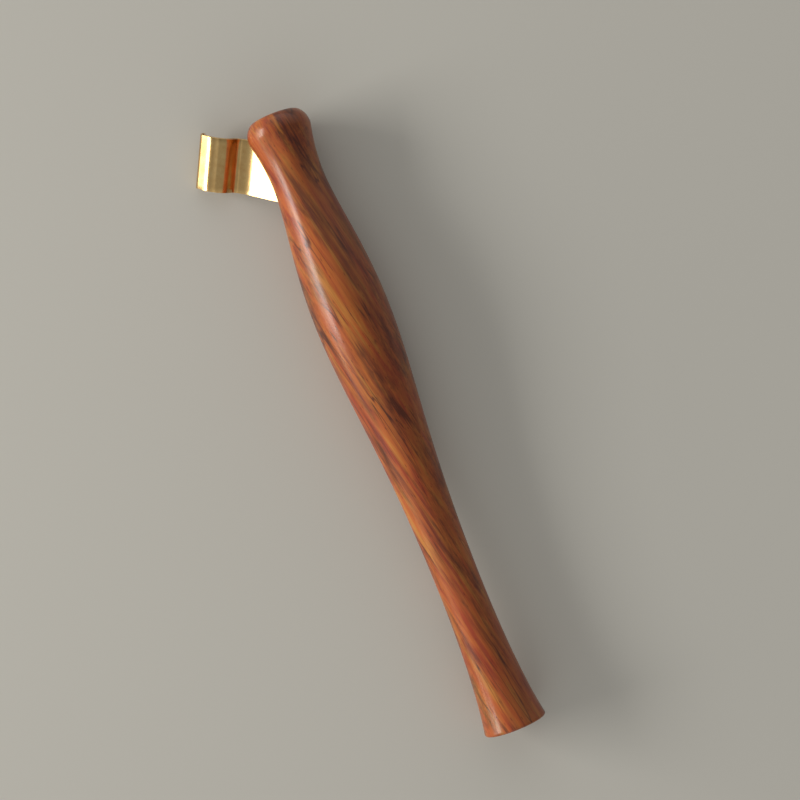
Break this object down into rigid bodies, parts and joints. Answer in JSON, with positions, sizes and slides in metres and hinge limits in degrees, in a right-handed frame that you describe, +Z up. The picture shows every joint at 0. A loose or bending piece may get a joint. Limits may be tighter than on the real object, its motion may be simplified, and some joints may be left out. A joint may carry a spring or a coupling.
{
  "type": "oblique pen holder",
  "caption": "Turned hardwood oblique holder for a dip nib, with a folded brass flange set in the side of its head to grip the nib at an angle.",
  "frame": {"origin": "centre of the flat butt face, on the holder's axis", "axes": "+Y along the holder's axis from the butt to the head, +Z up as the holder lies on a table with its flange on the left, +X to the right, away from the flange"},
  "size_m": [0.0342, 0.1651, 0.0192],
  "materials": {
    "hardwood": "lacquered, satin gloss, reddish rosewood",
    "brass": "polished sheet",
    "epoxy": "cured amber glue line"
  },
  "bodies": {
    "root": {"holder_body": "hardwood", "nib_flange": "brass", "flange_glue": "epoxy"}
  },
  "joints": []
}
